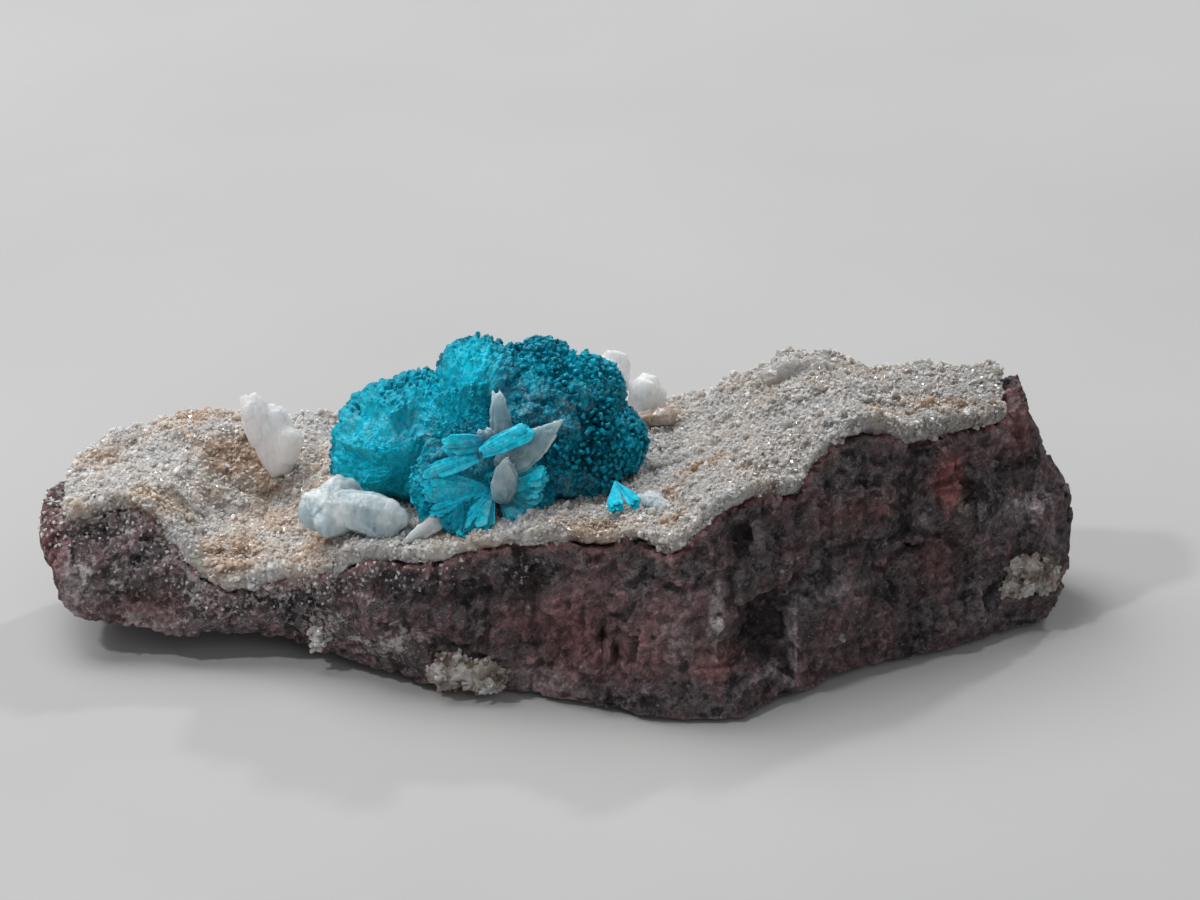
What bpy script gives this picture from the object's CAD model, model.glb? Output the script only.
# %% [markdown]
# # A cavansite specimen
#
# The real thing is a hand-sized piece of mineral, 92 mm long. A broken lump of dark basalt carries a
# pale crust of tiny zeolite crystals. On the crust sit two balls and a rosette of teal cavansite, whose
# blades radiate from a point, and a few milky white stilbite crystals.
#
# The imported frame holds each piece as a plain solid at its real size. Each step below dresses one of them:
# it copies the solid, or repeats its few driving sizes, grows the fine surface on it and gives it a
# finish. Nothing is moved or resized.

# %% Load the frame
import math

import bmesh
import bpy
import numpy as np
from mathutils import Matrix, Vector, noise
from mathutils.bvhtree import BVHTree


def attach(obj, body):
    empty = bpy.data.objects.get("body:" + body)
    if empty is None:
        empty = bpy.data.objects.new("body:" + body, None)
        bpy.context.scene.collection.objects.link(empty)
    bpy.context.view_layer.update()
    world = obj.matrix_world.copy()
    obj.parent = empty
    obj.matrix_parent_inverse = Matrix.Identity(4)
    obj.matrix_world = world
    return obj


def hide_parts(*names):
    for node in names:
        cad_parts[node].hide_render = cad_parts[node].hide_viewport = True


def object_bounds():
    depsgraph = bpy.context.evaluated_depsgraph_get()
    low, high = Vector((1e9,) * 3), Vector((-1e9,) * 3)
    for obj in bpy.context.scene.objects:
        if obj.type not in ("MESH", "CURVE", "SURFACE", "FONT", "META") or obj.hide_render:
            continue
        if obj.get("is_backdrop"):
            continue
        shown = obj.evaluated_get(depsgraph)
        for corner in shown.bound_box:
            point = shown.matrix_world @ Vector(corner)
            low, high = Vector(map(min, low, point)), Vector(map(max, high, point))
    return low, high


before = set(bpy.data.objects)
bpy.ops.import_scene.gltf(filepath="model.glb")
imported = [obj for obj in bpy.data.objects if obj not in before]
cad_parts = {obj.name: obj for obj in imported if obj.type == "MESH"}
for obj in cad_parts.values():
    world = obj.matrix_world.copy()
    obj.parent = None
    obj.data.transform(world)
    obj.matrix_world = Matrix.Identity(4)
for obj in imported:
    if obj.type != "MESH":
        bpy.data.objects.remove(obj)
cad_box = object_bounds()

MM = 0.001
MERGE = 0.00001


def mm(point):
    """A point or a size in millimetres as metres."""
    return Vector(point) * MM


# %% [markdown]
# ## The camera
#
# The camera comes first, because every later choice is judged through it. The photographer stood in
# front of the specimen and looked down on it at 25 degrees. A long lens from a good hand's length away
# keeps the outline almost free of perspective, as a close-up of a small thing from half a metre is.

# %% Set the camera
CAMERA_TARGET = (3.5, 0.0, 17.9)
CAMERA_DISTANCE = 450.0
CAMERA_ELEVATION = math.radians(25.0)
CAMERA_LENS = 155.25
CAMERA_SENSOR = 36.0

camera = bpy.data.objects.new("camera", bpy.data.cameras.new("camera"))
bpy.context.scene.collection.objects.link(camera)
back_off = Vector((0.0, -math.cos(CAMERA_ELEVATION), math.sin(CAMERA_ELEVATION))) * CAMERA_DISTANCE
camera.location = mm(Vector(CAMERA_TARGET) + back_off)
camera.rotation_euler = (math.pi / 2 - CAMERA_ELEVATION, 0.0, 0.0)
camera.data.lens = CAMERA_LENS
camera.data.sensor_width = CAMERA_SENSOR
camera.data.clip_start = 10 * MM
camera.data.dof.use_dof = False
bpy.context.scene.camera = camera
print("the camera stands", [round(c, 3) for c in camera.location], "m from the origin")

# %% [markdown]
# ## The floor and the light
#
# A specimen is lit like a small sculpture: one wide soft light from above and behind the left shoulder,
# a weak fill from the front so the broken face keeps its colour, and a narrow light that only the
# crystal faces catch. The floor is plain matt card. It is marked as stage, so it isn't part of the
# object.

# %% One function adds a node, and one turns a colour to linear


def linear(hex_colour):
    """An sRGB hex colour as the linear colour with alpha that a shader takes."""
    shares = [int(hex_colour[place:place + 2], 16) / 255 for place in (1, 3, 5)]
    return (*[s / 12.92 if s <= 0.04045 else ((s + 0.055) / 1.055) ** 2.4 for s in shares], 1.0)


def wire(tree, node, inputs):
    """Sets a node's inputs: each to a number, a hex colour, a node's first output or one of its outputs."""
    for key, value in inputs.items():
        if isinstance(value, bpy.types.Node):
            value = value.outputs[0]
        if isinstance(value, bpy.types.NodeSocket):
            tree.links.new(value, node.inputs[key])
        else:
            is_colour = isinstance(value, str) and value.startswith("#")
            node.inputs[key].default_value = linear(value) if is_colour else value
    return node


def add(tree, kind, inputs=None, stops=(), **settings):
    """Adds a node with its settings, its inputs and, for a colour ramp, its stops."""
    node = tree.nodes.new(kind)
    for name, value in settings.items():
        setattr(node, name, value)
    if stops:
        ramp = node.color_ramp
        ends = (stops[0], stops[-1])
        for element, (place, colour) in zip(ramp.elements, ends):
            element.position = place
            element.color = linear(colour)
        for place, colour in stops[1:-1]:
            ramp.elements.new(place).color = linear(colour)
    return wire(tree, node, inputs or {})


print("the palest stone is", [round(c, 2) for c in linear("#b8b5b0")[:3]], "in linear light")

# %% [markdown]
# The finishes below are built from a few kinds of node. Each kind has a short function, so that a finish
# reads as a recipe. Every pattern takes the real size of its features in millimetres.

# %% Short names for the nodes used most


def maths(tree, operation, *values, **settings):
    return add(tree, "ShaderNodeMath", dict(enumerate(values)), operation=operation, **settings)


def vectors(tree, operation, *values):
    return add(tree, "ShaderNodeVectorMath", dict(enumerate(values)), operation=operation)


def product(tree, first, *others):
    """Several numbers multiplied one after the other."""
    for other in others:
        first = maths(tree, "MULTIPLY", first, other)
    return first


def scaled(tree, vector, share):
    return add(tree, "ShaderNodeVectorMath", {0: vector, "Scale": share}, operation="SCALE")


def mapped(tree, value, source=(0.0, 1.0), to=(0.0, 1.0)):
    """Takes a number from one range to another and holds it there."""
    return add(tree, "ShaderNodeMapRange", {"Value": value, 1: source[0], 2: source[1], 3: to[0], 4: to[1]})


def blended(tree, share, base, over):
    """Lays a colour over another by a share."""
    return add(tree, "ShaderNodeMix", {0: share, 6: base, 7: over}, data_type="RGBA").outputs[2]


def ramped(tree, value, *stops):
    return add(tree, "ShaderNodeValToRGB", {"Fac": value}, stops=stops)


def repeats(size):
    """A pattern's scale in object coordinates for a feature of a size in millimetres."""
    return 1 / (size * MM)


def clouded(tree, place, size, detail, roughness=0.5):
    """Soft noise."""
    return add(tree, "ShaderNodeTexNoise", {
        "Vector": place, "Scale": repeats(size), "Detail": detail, "Roughness": roughness})


def celled(tree, place, size):
    """A random colour for each cell."""
    return add(tree, "ShaderNodeTexVoronoi", {"Vector": place, "Scale": repeats(size)}).outputs["Color"]


def bumped(tree, height, strength, distance):
    return add(tree, "ShaderNodeBump", {"Height": height, "Strength": strength, "Distance": distance * MM})


def speckled(tree, place, base, share, colour, size, detail, level, sharpness):
    """Lays specks over a colour: the more of a share is painted, the lower the level they need."""
    noisy = clouded(tree, place, size, detail, roughness=0.7)
    above = maths(tree, "SUBTRACT", noisy, mapped(tree, share, to=level))
    return blended(tree, maths(tree, "MULTIPLY", above, sharpness, use_clamp=True), base, colour)


def painted_shares(tree, *names):
    """The numbers that were painted on the vertices, by their names."""
    return [add(tree, "ShaderNodeAttribute", attribute_name=name).outputs["Fac"] for name in names]


def new_finish(name):
    """A new material with its node tree, its surface shader and the place on the object."""
    material = bpy.data.materials.new(name)
    material.use_nodes = True
    tree = material.node_tree
    place = add(tree, "ShaderNodeTexCoord").outputs["Object"]
    return material, tree, tree.nodes["Principled BSDF"], place


print("a feature of 2 mm repeats", repeats(2.0), "times in a metre")

# %% [markdown]
# Card has a faint mottle and no gloss.

# %% Lay the floor and hang the lights
FLOOR_SIZE = 3000.0
FLOOR_DEPTH = -0.05


def matt_card():
    """Pale matt card: a soft even grey with a faint mottle."""
    material, tree, surface, place = new_finish("card_matt_pale")
    mottle = clouded(tree, place, 60.0, detail=3.0)
    tint = ramped(tree, mottle, (0.3, "#bababa"), (0.7, "#c0c0bf"))
    wire(tree, surface, {"Base Color": tint, "Roughness": 0.9, "Specular IOR Level": 0.2})
    return material


bpy.ops.mesh.primitive_plane_add(size=FLOOR_SIZE * MM, location=(0.0, 0.0, FLOOR_DEPTH * MM))
floor = bpy.context.object
floor.name = "floor"
floor.data.materials.append(matt_card())
floor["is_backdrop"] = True

# Each light: name, place in millimetres, size in millimetres, power in watts
LIGHTS = [
    ("sky_panel", (-260.0, 240.0, 640.0), 520.0, 4.2),
    ("front_fill", (180.0, -620.0, 420.0), 500.0, 0.8),
    ("glint_lamp_right", (240.0, 420.0, 430.0), 40.0, 0.8),
    ("glint_lamp_left", (-330.0, -160.0, 460.0), 40.0, 0.8),
]
WORLD_COLOUR = "#d4d6da"
WORLD_STRENGTH = 0.22

for name, place, size, power in LIGHTS:
    lamp = bpy.data.lights.new(name, "AREA")
    lamp.size = size * MM
    lamp.energy = power
    holder = bpy.data.objects.new(name, lamp)
    holder.location = mm(place)
    holder.rotation_euler = (mm(CAMERA_TARGET) - holder.location).to_track_quat("-Z", "Y").to_euler()
    bpy.context.scene.collection.objects.link(holder)

world = bpy.data.worlds.new("soft_room")
bpy.context.scene.world = world
world.use_nodes = True
sky = world.node_tree.nodes["Background"]
wire(world.node_tree, sky, {"Color": WORLD_COLOUR, "Strength": WORLD_STRENGTH})
# The plain transform keeps the teal as saturated as a photograph shows it
bpy.context.scene.view_settings.view_transform = "Standard"
print("hung", len(LIGHTS), "lights over a floor of", FLOOR_SIZE / 1000, "m")

# %% [markdown]
# ## Tools for stone
#
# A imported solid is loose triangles. A copy of it is merged, and a voxel remesh turns it into an even
# skin of small squares, fine enough to carry relief. The relief is one Geometry Nodes tree that every
# stone shares: broad swells, tilted chips (each cell of a Voronoi pattern leans its own way, as a
# hackly fracture does) and grain. Pushing real vertices shows in the outline, which a bump map can't do.

# %% Copy a solid and skin it evenly


def shown(name, mesh):
    """A new object for a mesh, linked to the scene."""
    made = bpy.data.objects.new(name, mesh)
    bpy.context.scene.collection.objects.link(made)
    return made


def solid_copy(name, *nodes):
    """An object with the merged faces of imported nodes."""
    bm = bmesh.new()
    for node in nodes:
        bm.from_mesh(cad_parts[node].data)
    bmesh.ops.remove_doubles(bm, verts=bm.verts, dist=MERGE)
    mesh = bpy.data.meshes.new(name)
    bm.to_mesh(mesh)
    bm.free()
    return shown(name, mesh)


def evaluated_mesh(obj):
    """The mesh that an object's modifiers make, as a plain mesh."""
    graph = bpy.context.evaluated_depsgraph_get()
    return bpy.data.meshes.new_from_object(obj.evaluated_get(graph), depsgraph=graph)


def applied(obj):
    """Replaces an object's mesh by what its modifiers make, and removes them."""
    mesh = evaluated_mesh(obj)
    obj.modifiers.clear()
    obj.data = mesh
    return obj


def skinned(obj, voxel, smoothing=0):
    """Remeshes an object to squares of a size in millimetres and melts its hard edges."""
    remesh = obj.modifiers.new("even_skin", "REMESH")
    remesh.mode = "VOXEL"
    remesh.voxel_size = voxel * MM
    if smoothing:
        melt = obj.modifiers.new("melt_edges", "SMOOTH")
        melt.factor = 0.5
        melt.iterations = smoothing
    return applied(obj)


print("the crust's solid has", len(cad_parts["drusy_crust"].data.polygons), "faces to start from")

# %% [markdown]
# A tree's inputs have names, and a modifier sets them by their sockets' identifiers before the object is
# first evaluated. Blender's lengths are in metres, so each length is turned from millimetres on the way.

# %% Build trees with named inputs


def new_tree(name, inputs):
    """A Geometry Nodes tree with named inputs as (name, type, default), and those inputs by name."""
    tree = bpy.data.node_groups.new(name, "GeometryNodeTree")
    tree.interface.new_socket("Geometry", in_out="OUTPUT", socket_type="NodeSocketGeometry")
    tree.interface.new_socket("Geometry", in_out="INPUT", socket_type="NodeSocketGeometry")
    for label, kind, value in inputs:
        socket = tree.interface.new_socket(label, in_out="INPUT", socket_type="NodeSocket" + kind)
        if value is not None:
            socket.default_value = value
    return tree, tree.nodes.new("NodeGroupInput").outputs


def ends_with(tree, geometry):
    """Wires a geometry to the tree's output."""
    add(tree, "NodeGroupOutput", {"Geometry": geometry})
    return tree


def moved_by(tree, geometry, offset):
    return add(tree, "GeometryNodeSetPosition", {"Geometry": geometry, "Offset": offset})


# The inputs that are shares or slopes, not lengths
PLAIN = ("chip_tilt", "lean", "lowest_slope", "blade_share", "shortest", "longest", "start", "twist")


def run_tree(obj, tree, **values):
    """Runs a tree on an object and keeps the result as its plain mesh. Lengths are in millimetres."""
    modifier = obj.modifiers.new(tree.name, "NODES")
    modifier.node_group = tree
    for socket in tree.interface.items_tree:
        name = socket.name.lower().replace(" ", "_")
        if socket.in_out == "INPUT" and name in values:
            value = values[name]
            is_length = isinstance(value, float) and name not in PLAIN
            modifier[socket.identifier] = value * MM if is_length else value
    return applied(obj)


print("a tree is run as a modifier and kept as a plain mesh")

# %% [markdown]
# One tree makes the relief of every stone.

# %% Build the relief tree


def relief_tree():
    """Pushes a skin along its normals: a stand-off, broad swells, tilted chips and grain."""
    tree, given = new_tree("relief", [
        ("Stand off", "Float", 0.0), ("Swell size", "Float", 4 * MM), ("Swell height", "Float", 0.0),
        ("Chip size", "Float", 3 * MM), ("Chip tilt", "Float", 0.0),
        ("Grain size", "Float", 1 * MM), ("Grain height", "Float", 0.0),
    ])
    place = add(tree, "GeometryNodeInputPosition")
    heights = given["Stand off"]
    for size, height, detail in (("Swell size", "Swell height", 2.0), ("Grain size", "Grain height", 3.0)):
        scale = maths(tree, "DIVIDE", 1.0, given[size])
        clouds = add(tree, "ShaderNodeTexNoise", {"Vector": place, "Scale": scale, "Detail": detail})
        centred = maths(tree, "SUBTRACT", clouds, 0.5)
        heights = maths(tree, "MULTIPLY_ADD", centred, given[height], heights)
    scale = maths(tree, "DIVIDE", 1.0, given["Chip size"])
    chips = add(tree, "ShaderNodeTexVoronoi", {"Vector": place, "Scale": scale})
    from_middle = vectors(tree, "SUBTRACT", place, chips.outputs["Position"])
    lean = vectors(tree, "SUBTRACT", chips.outputs["Color"], (0.5, 0.5, 0.5))
    tilt = vectors(tree, "DOT_PRODUCT", from_middle, lean)
    heights = maths(tree, "MULTIPLY_ADD", tilt.outputs["Value"], given["Chip tilt"], heights)
    push = scaled(tree, add(tree, "GeometryNodeInputNormal"), heights)
    return ends_with(tree, moved_by(tree, given["Geometry"], push))


RELIEF = relief_tree()
print("the relief tree has", len(RELIEF.nodes), "nodes")

# %% [markdown]
# What differs from place to place, such as rust or dust, is painted on the vertices from lists of soft
# round marks. A finish reads it back by its name.

# %% Read, paint and hand over a mesh


def vertex_rows(obj, what):
    """One row of three numbers for each vertex: its place, "co", or its normal, "normal"."""
    flat = np.empty(len(obj.data.vertices) * 3)
    obj.data.vertices.foreach_get(what, flat)
    return flat.reshape(-1, 3)


def corners(obj):
    """The vertices of an object as an array of millimetres."""
    return vertex_rows(obj, "co") / MM


def put_back(obj, places):
    """Moves the vertices of an object to places in millimetres."""
    obj.data.vertices.foreach_set("co", (places * MM).ravel())


def paint(obj, **shares):
    """Stores numbers for each vertex, or one number for all, which a material reads by their names."""
    for name, share in shares.items():
        values = np.broadcast_to(share, len(obj.data.vertices)).astype(np.float32)
        obj.data.attributes.new(name, "FLOAT", "POINT").data.foreach_set("value", values)


def spots(places, marks):
    """How strongly soft round marks cover each place: each mark is (centre, radii, strength)."""
    total = np.zeros(len(places))
    for centre, radii, strength in marks:
        far = (((places - np.array(centre)) / np.array(radii)) ** 2).sum(1)
        total = np.maximum(total, strength * np.exp(-far))
    return total


def solid_faces(node):
    """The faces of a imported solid, ready for searches."""
    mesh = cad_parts[node].data
    return BVHTree.FromPolygons([v.co for v in mesh.vertices], [f.vertices for f in mesh.polygons])


def triangles(obj):
    return sum(len(face.vertices) - 2 for face in obj.data.polygons)


def finished(obj, material, slot, *nodes, smooth=False):
    """Gives a piece its material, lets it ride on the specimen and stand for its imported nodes."""
    obj.data.materials.clear()
    obj.data.materials.append(material)
    (obj.data.shade_smooth if smooth else obj.data.shade_flat)()
    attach(obj, "root")
    if nodes:
        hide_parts(*nodes)
    print(obj.name, "has", triangles(obj), "triangles")
    return obj


crust_faces = solid_faces("drusy_crust")
print("marks are painted on the vertices and read back by name")

# %% [markdown]
# ## The basalt
#
# Basalt is a fine-grained lava. Broken, it shows a rough matt face, purplish black where it is fresh and
# red-brown where its iron has rusted. Small white zeolite specks fill its pores, most thickly at the
# left end. The relief is real geometry, in two passes: broad chips as a hammer leaves them, then
# the grain. The specks are colour, because each is a fraction of a millimetre and lies flush.

# %% Place the marks of the broken face
# Marks: centre and radii in millimetres, strength
PALE_MARKS = [
    ((-41.5, -3.5, 7.0), (1.6, 8.0, 4.4), 0.9),
    ((-37.5, -5.0, 7.2), (2.6, 8.0, 2.0), 0.8),
    ((-31.3, -5.2, 6.0), (2.6, 8.0, 1.6), 1.0),
    ((-33.0, -5.5, 3.8), (9.0, 8.0, 1.8), 0.5),
    ((-21.0, -7.0, 4.5), (3.0, 6.0, 2.6), 0.95),
    ((-15.5, -9.8, 3.6), (4.0, 6.0, 2.2), 1.0),
    ((-12.0, -10.6, 5.4), (3.0, 6.0, 1.5), 0.8),
    ((-3.0, -11.0, 12.2), (3.0, 4.0, 1.4), 0.6),
    ((13.3, -15.3, 9.0), (0.7, 4.0, 2.4), 0.9),
    ((19.8, -10.0, 12.1), (1.4, 4.0, 0.6), 0.95),
    ((35.5, -1.0, 12.8), (2.0, 4.0, 0.9), 0.6),
    ((40.4, 2.2, 12.0), (2.2, 4.0, 0.9), 0.9),
    ((28.6, -5.0, 11.0), (1.4, 4.0, 0.5), 0.7),
]
# White blots of a millimetre or two
BLOT_MARKS = [
    ((-14.6, -10.0, 4.6), (4.4, 6.0, 2.4), 1.0),
    ((-19.0, -8.0, 5.6), (3.0, 6.0, 2.0), 0.8),
    ((-31.4, -5.2, 6.6), (2.4, 8.0, 1.8), 1.0),
    ((-41.4, -3.5, 8.6), (1.8, 8.0, 3.6), 1.0),
    ((-38.0, -4.4, 10.6), (2.6, 6.0, 1.0), 0.9),
    ((-17.0, -8.0, 9.0), (4.0, 6.0, 1.2), 0.8),
    ((-24.0, -6.4, 6.6), (3.0, 6.0, 1.2), 0.7),
    ((-2.8, -11.0, 12.0), (2.4, 4.0, 1.4), 0.75),
    ((40.6, 2.2, 11.8), (2.2, 4.0, 0.9), 0.8),
    ((13.2, -15.0, 9.0), (0.9, 4.0, 2.4), 0.75),
]
RUST_MARKS = [
    ((33.9, -0.5, 15.3), (1.0, 4.0, 1.7), 3.2),
    ((-44.2, 0.0, 9.0), (1.6, 4.0, 4.0), 1.0),
    ((13.5, -15.6, 5.4), (2.2, 5.0, 1.8), 0.9),
    ((1.6, -13.0, 6.6), (6.0, 5.0, 3.4), 0.7),
    ((8.6, -16.0, 7.5), (4.0, 5.0, 3.0), 0.6),
    ((40.3, 5.1, 17.9), (1.4, 5.0, 2.6), 0.8),
    ((26.0, -7.5, 15.0), (4.4, 5.0, 1.6), 0.5),
    ((-38.0, -4.0, 4.4), (5.0, 5.0, 1.6), 0.6),
    ((33.0, -3.0, 9.0), (3.0, 5.0, 1.6), 0.5),
]
# The right wall of the broken-out corner catches the light
LIT_WALL = [((20.4, -11.0, 5.4), (1.3, 5.0, 4.0), 1.0)]
WALL_HAZE = 2.6
# Bare greyish facets and streaks
HAZE_MARKS = [
    ((13.4, -15.0, 9.2), (0.6, 4.0, 2.6), 1.4),
    ((18.0, -12.0, 2.9), (2.0, 4.0, 0.35), 1.8),
    ((16.8, -12.8, 14.9), (0.5, 4.0, 1.1), 0.8),
    ((23.4, -8.0, 8.6), (2.2, 4.0, 0.9), 0.6),
    ((10.1, -15.0, 7.4), (1.6, 4.0, 2.2), 0.7),
    ((31.5, -3.0, 11.6), (0.6, 4.0, 1.4), 0.7),
    ((37.2, 1.0, 2.6), (2.4, 4.0, 1.0), 0.8),
    ((41.4, 2.2, 11.2), (3.0, 4.0, 1.0), 1.0),
    ((43.6, 3.0, 6.0), (0.9, 4.0, 3.4), 0.6),
    ((-1.0, -12.0, 2.0), (3.2, 4.0, 1.2), 0.5),
    ((-36.0, -4.0, 3.6), (6.0, 4.0, 1.2), 0.5),
    ((-42.6, -3.0, 6.4), (1.0, 6.0, 3.0), 0.8),
]
# Where the fresh rock is nearly black
DARK_MARKS = [
    ((26.5, -7.0, 16.4), (4.5, 4.0, 1.8), 1.0),
    ((33.5, -2.0, 9.6), (3.4, 4.0, 1.8), 0.8),
    ((-4.0, -12.0, 10.6), (3.0, 4.0, 2.0), 0.9),
    ((8.0, -15.0, 2.0), (5.0, 4.0, 1.2), 0.9),
    ((19.0, -10.0, 15.0), (3.0, 4.0, 1.4), 0.6),
    ((-24.6, -6.0, 5.6), (1.6, 4.0, 1.6), 0.9),
    ((39.5, 3.0, 15.4), (3.0, 4.0, 1.0), 0.9),
    ((29.0, -4.0, 13.6), (5.0, 5.0, 2.6), 0.8),
    ((37.0, 0.0, 12.4), (3.4, 5.0, 2.6), 0.9),
    ((36.0, 0.5, 6.6), (4.6, 5.0, 2.6), 0.6),
]
MARK_LISTS = (PALE_MARKS, BLOT_MARKS, RUST_MARKS, HAZE_MARKS, DARK_MARKS)
print("marks on the rock:", [len(marks) for marks in MARK_LISTS])

# %% [markdown]
# The pits and the broken-out corner are sunk into the skin before its relief is grown, so that their
# walls are as rough as the rest of the face.

# %% Sizes of the pits and the seam
# Round pits: centre, radii, depth, all in millimetres
PITS = [
    ((15.5, -12.4, 15.0), (1.1, 3.0, 1.4), 1.6),
    ((30.5, -3.0, 9.8), (0.9, 2.5, 0.45), 1.4),
    ((3.7, -13.9, 6.3), (0.35, 3.0, 1.2), 1.2),
    ((4.8, -14.5, 5.2), (0.35, 3.0, 0.9), 1.2),
    ((-9.4, -11.5, 9.1), (2.2, 3.0, 1.4), 0.7),
    ((24.0, -8.0, 12.0), (1.8, 3.0, 1.2), 0.6),
    ((-26.5, -5.8, 5.7), (1.6, 3.0, 0.9), 0.6),
    ((-36.5, -5.0, 5.6), (1.2, 3.0, 0.7), 0.5),
    ((10.0, 19.0, 8.0), (2.6, 5.0, 2.0), 1.0),
    ((-22.0, 17.0, 7.0), (3.0, 5.0, 1.8), 0.9),
    ((31.0, 14.5, 9.0), (2.0, 5.0, 2.4), 0.8),
]
# The broken-out corner: its outline on the face as (x, z), and how deep its walls cut in
NOTCH = [(14.8, 10.0), (20.6, 9.6), (20.5, 1.0), (17.6, 2.4), (14.6, 6.0)]
NOTCH_SLOPE = 1.5
NOTCH_DEPTH = 1.9
NOTCH_REACH = -5.0
# The rock's face is brought out to the crust where they meet, in millimetres
SEAM_REACH = 1.2
SEAM_FILL = 0.6
# Faces that look further up than this lie under the crust and stay
BURIED_SLOPE = 0.95
BURIED_FADE = 0.3
# Pits in front of this depth sink backwards, and those behind it forwards
MIDDLE_DEPTH = 5.0
print(len(PITS), "pits and a broken-out corner")

# %% [markdown]
# A pit is a soft dent. The corner has an outline with sloping walls. Along the seam the face is brought
# out to the crust, because the solids keep a small gap there.

# %% Carve the rock


def notch_depth(places):
    """How deep the broken-out corner is at each place: its walls slope in from the outline."""
    depth = np.full(len(places), NOTCH_DEPTH)
    for (x, z), (next_x, next_z) in zip(NOTCH, NOTCH[1:] + NOTCH[:1]):
        edge = np.array((next_x - x, next_z - z))
        inward = np.array((edge[1], -edge[0])) / np.linalg.norm(edge)
        depth = np.minimum(depth, NOTCH_SLOPE * ((places[:, (0, 2)] - (x, z)) @ inward))
    return np.where(places[:, 1] < NOTCH_REACH, np.clip(depth, 0.0, None), 0.0)


def nearness(places, reach):
    """1 for a place that touches the crust's solid, falling to 0 over a reach in millimetres."""
    far = np.array([crust_faces.find_nearest(Vector(place) * MM)[3] for place in places]) / MM
    return np.exp(-(far / reach) ** 2)


def carve(obj):
    """Sinks the pits and the broken-out corner into the rock, towards its middle, and closes the seam.

    Returns how deep the pits are.
    """
    places = corners(obj)
    normals = vertex_rows(obj, "normal")
    depth = notch_depth(places)
    for centre, radii, deep in PITS:
        depth = np.maximum(depth, spots(places, [(centre, radii, deep)]))
    inward = np.where(places[:, 1] < MIDDLE_DEPTH, 1.0, -1.0)
    bare = np.clip((BURIED_SLOPE - normals[:, 2]) / BURIED_FADE, 0, 1)
    places += normals * (SEAM_FILL * bare * nearness(places, SEAM_REACH))[:, None]
    places[:, 1] += inward * depth
    put_back(obj, places)
    return depth


print("the broken-out corner is up to", NOTCH_DEPTH, "mm deep")

# %% [markdown]
# The stone's colour comes from a cloud pattern a few millimetres wide, darkened in the pits and rusty in
# a thin line where the rock meets its crust, because water seeped along that seam.

# %% Finish the basalt


def basalt_finish():
    """Broken basalt: matt, purplish black to red-brown, with white specks in its pores."""
    material, tree, surface, place = new_finish("basalt_broken")
    pale, rust, hollow, haze, black, blot = painted_shares(
        tree, "pale", "rust", "hollow", "haze", "black", "blot")
    clouds = clouded(tree, place, 4.0, detail=9.0, roughness=0.8)
    fresh = maths(tree, "MULTIPLY_ADD", black, -0.11, clouds)
    stone = ramped(tree, fresh, (0.34, "#191819"), (0.42, "#383536"), (0.46, "#6a6365"), (0.5, "#413839"),
                   (0.55, "#7c6365"), (0.6, "#4e4748"), (0.68, "#a8a0a2"))
    patched = maths(tree, "MULTIPLY", product(tree, clouds, 1.5), rust, use_clamp=True)
    rusted = blended(tree, patched, stone, "#815250")
    veiled = maths(tree, "MULTIPLY_ADD", clouds, 2.4, -0.35, use_clamp=True)
    broken = clouded(tree, place, 0.9, detail=5.0, roughness=0.8)
    crisp = mapped(tree, broken, (0.42, 0.58), to=(0.15, 1.3))
    veil = maths(tree, "MULTIPLY", product(tree, veiled, haze), crisp, use_clamp=True)
    hazy = blended(tree, veil, rusted, "#aa9fa2")
    faceted = mapped(tree, celled(tree, place, 2.4), to=(0.72, 1.3))
    shade = mapped(tree, celled(tree, place, 0.4), to=(0.6, 1.5))
    shadow = mapped(tree, hollow, (0.0, 1.4), to=(1.0, 0.5))
    ridges = mapped(tree, add(tree, "ShaderNodeNewGeometry").outputs["Pointiness"], (0.45, 0.56),
                    to=(0.6, 1.6))
    grained = scaled(tree, hazy, product(tree, shade, ridges, shadow, faceted))
    specked = speckled(tree, place, grained, pale, "#b3aaa7", 0.5, detail=3.0, level=(0.7, 0.44),
                       sharpness=7.0)
    colour = speckled(tree, place, specked, blot, "#cdc9c8", 1.2, detail=5.0, level=(0.74, 0.46),
                      sharpness=12.0)
    bump = bumped(tree, clouded(tree, place, 0.9, detail=6.0, roughness=0.75), 1.0, 0.6)
    wire(tree, surface, {"Base Color": colour, "Roughness": 0.8, "Normal": bump,
                         "Specular IOR Level": 0.35})
    return material


BASALT = basalt_finish()
print("the basalt's finish has", len(BASALT.node_tree.nodes), "nodes")

# %% [markdown]
# The solids keep a small gap between them. The rock's skin and the crust's are both pushed out, and close
# it, so no dark line shows where the crust begins.

# %% Grow the basalt
LEFT_SPECKLE_FROM = -8.0
LEFT_SPECKLE_OVER = 34.0
LEFT_SPECKLE_MOST = 0.44
SPECKLE_LEAST = 0.2
# Chips that stand near the solid's box are pressed back by this share, from this far inside it
RIM = 0.8
RIM_EASING = 0.6
SEAM_RUST = 0.9
SHALLOWEST = 0.1

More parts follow.
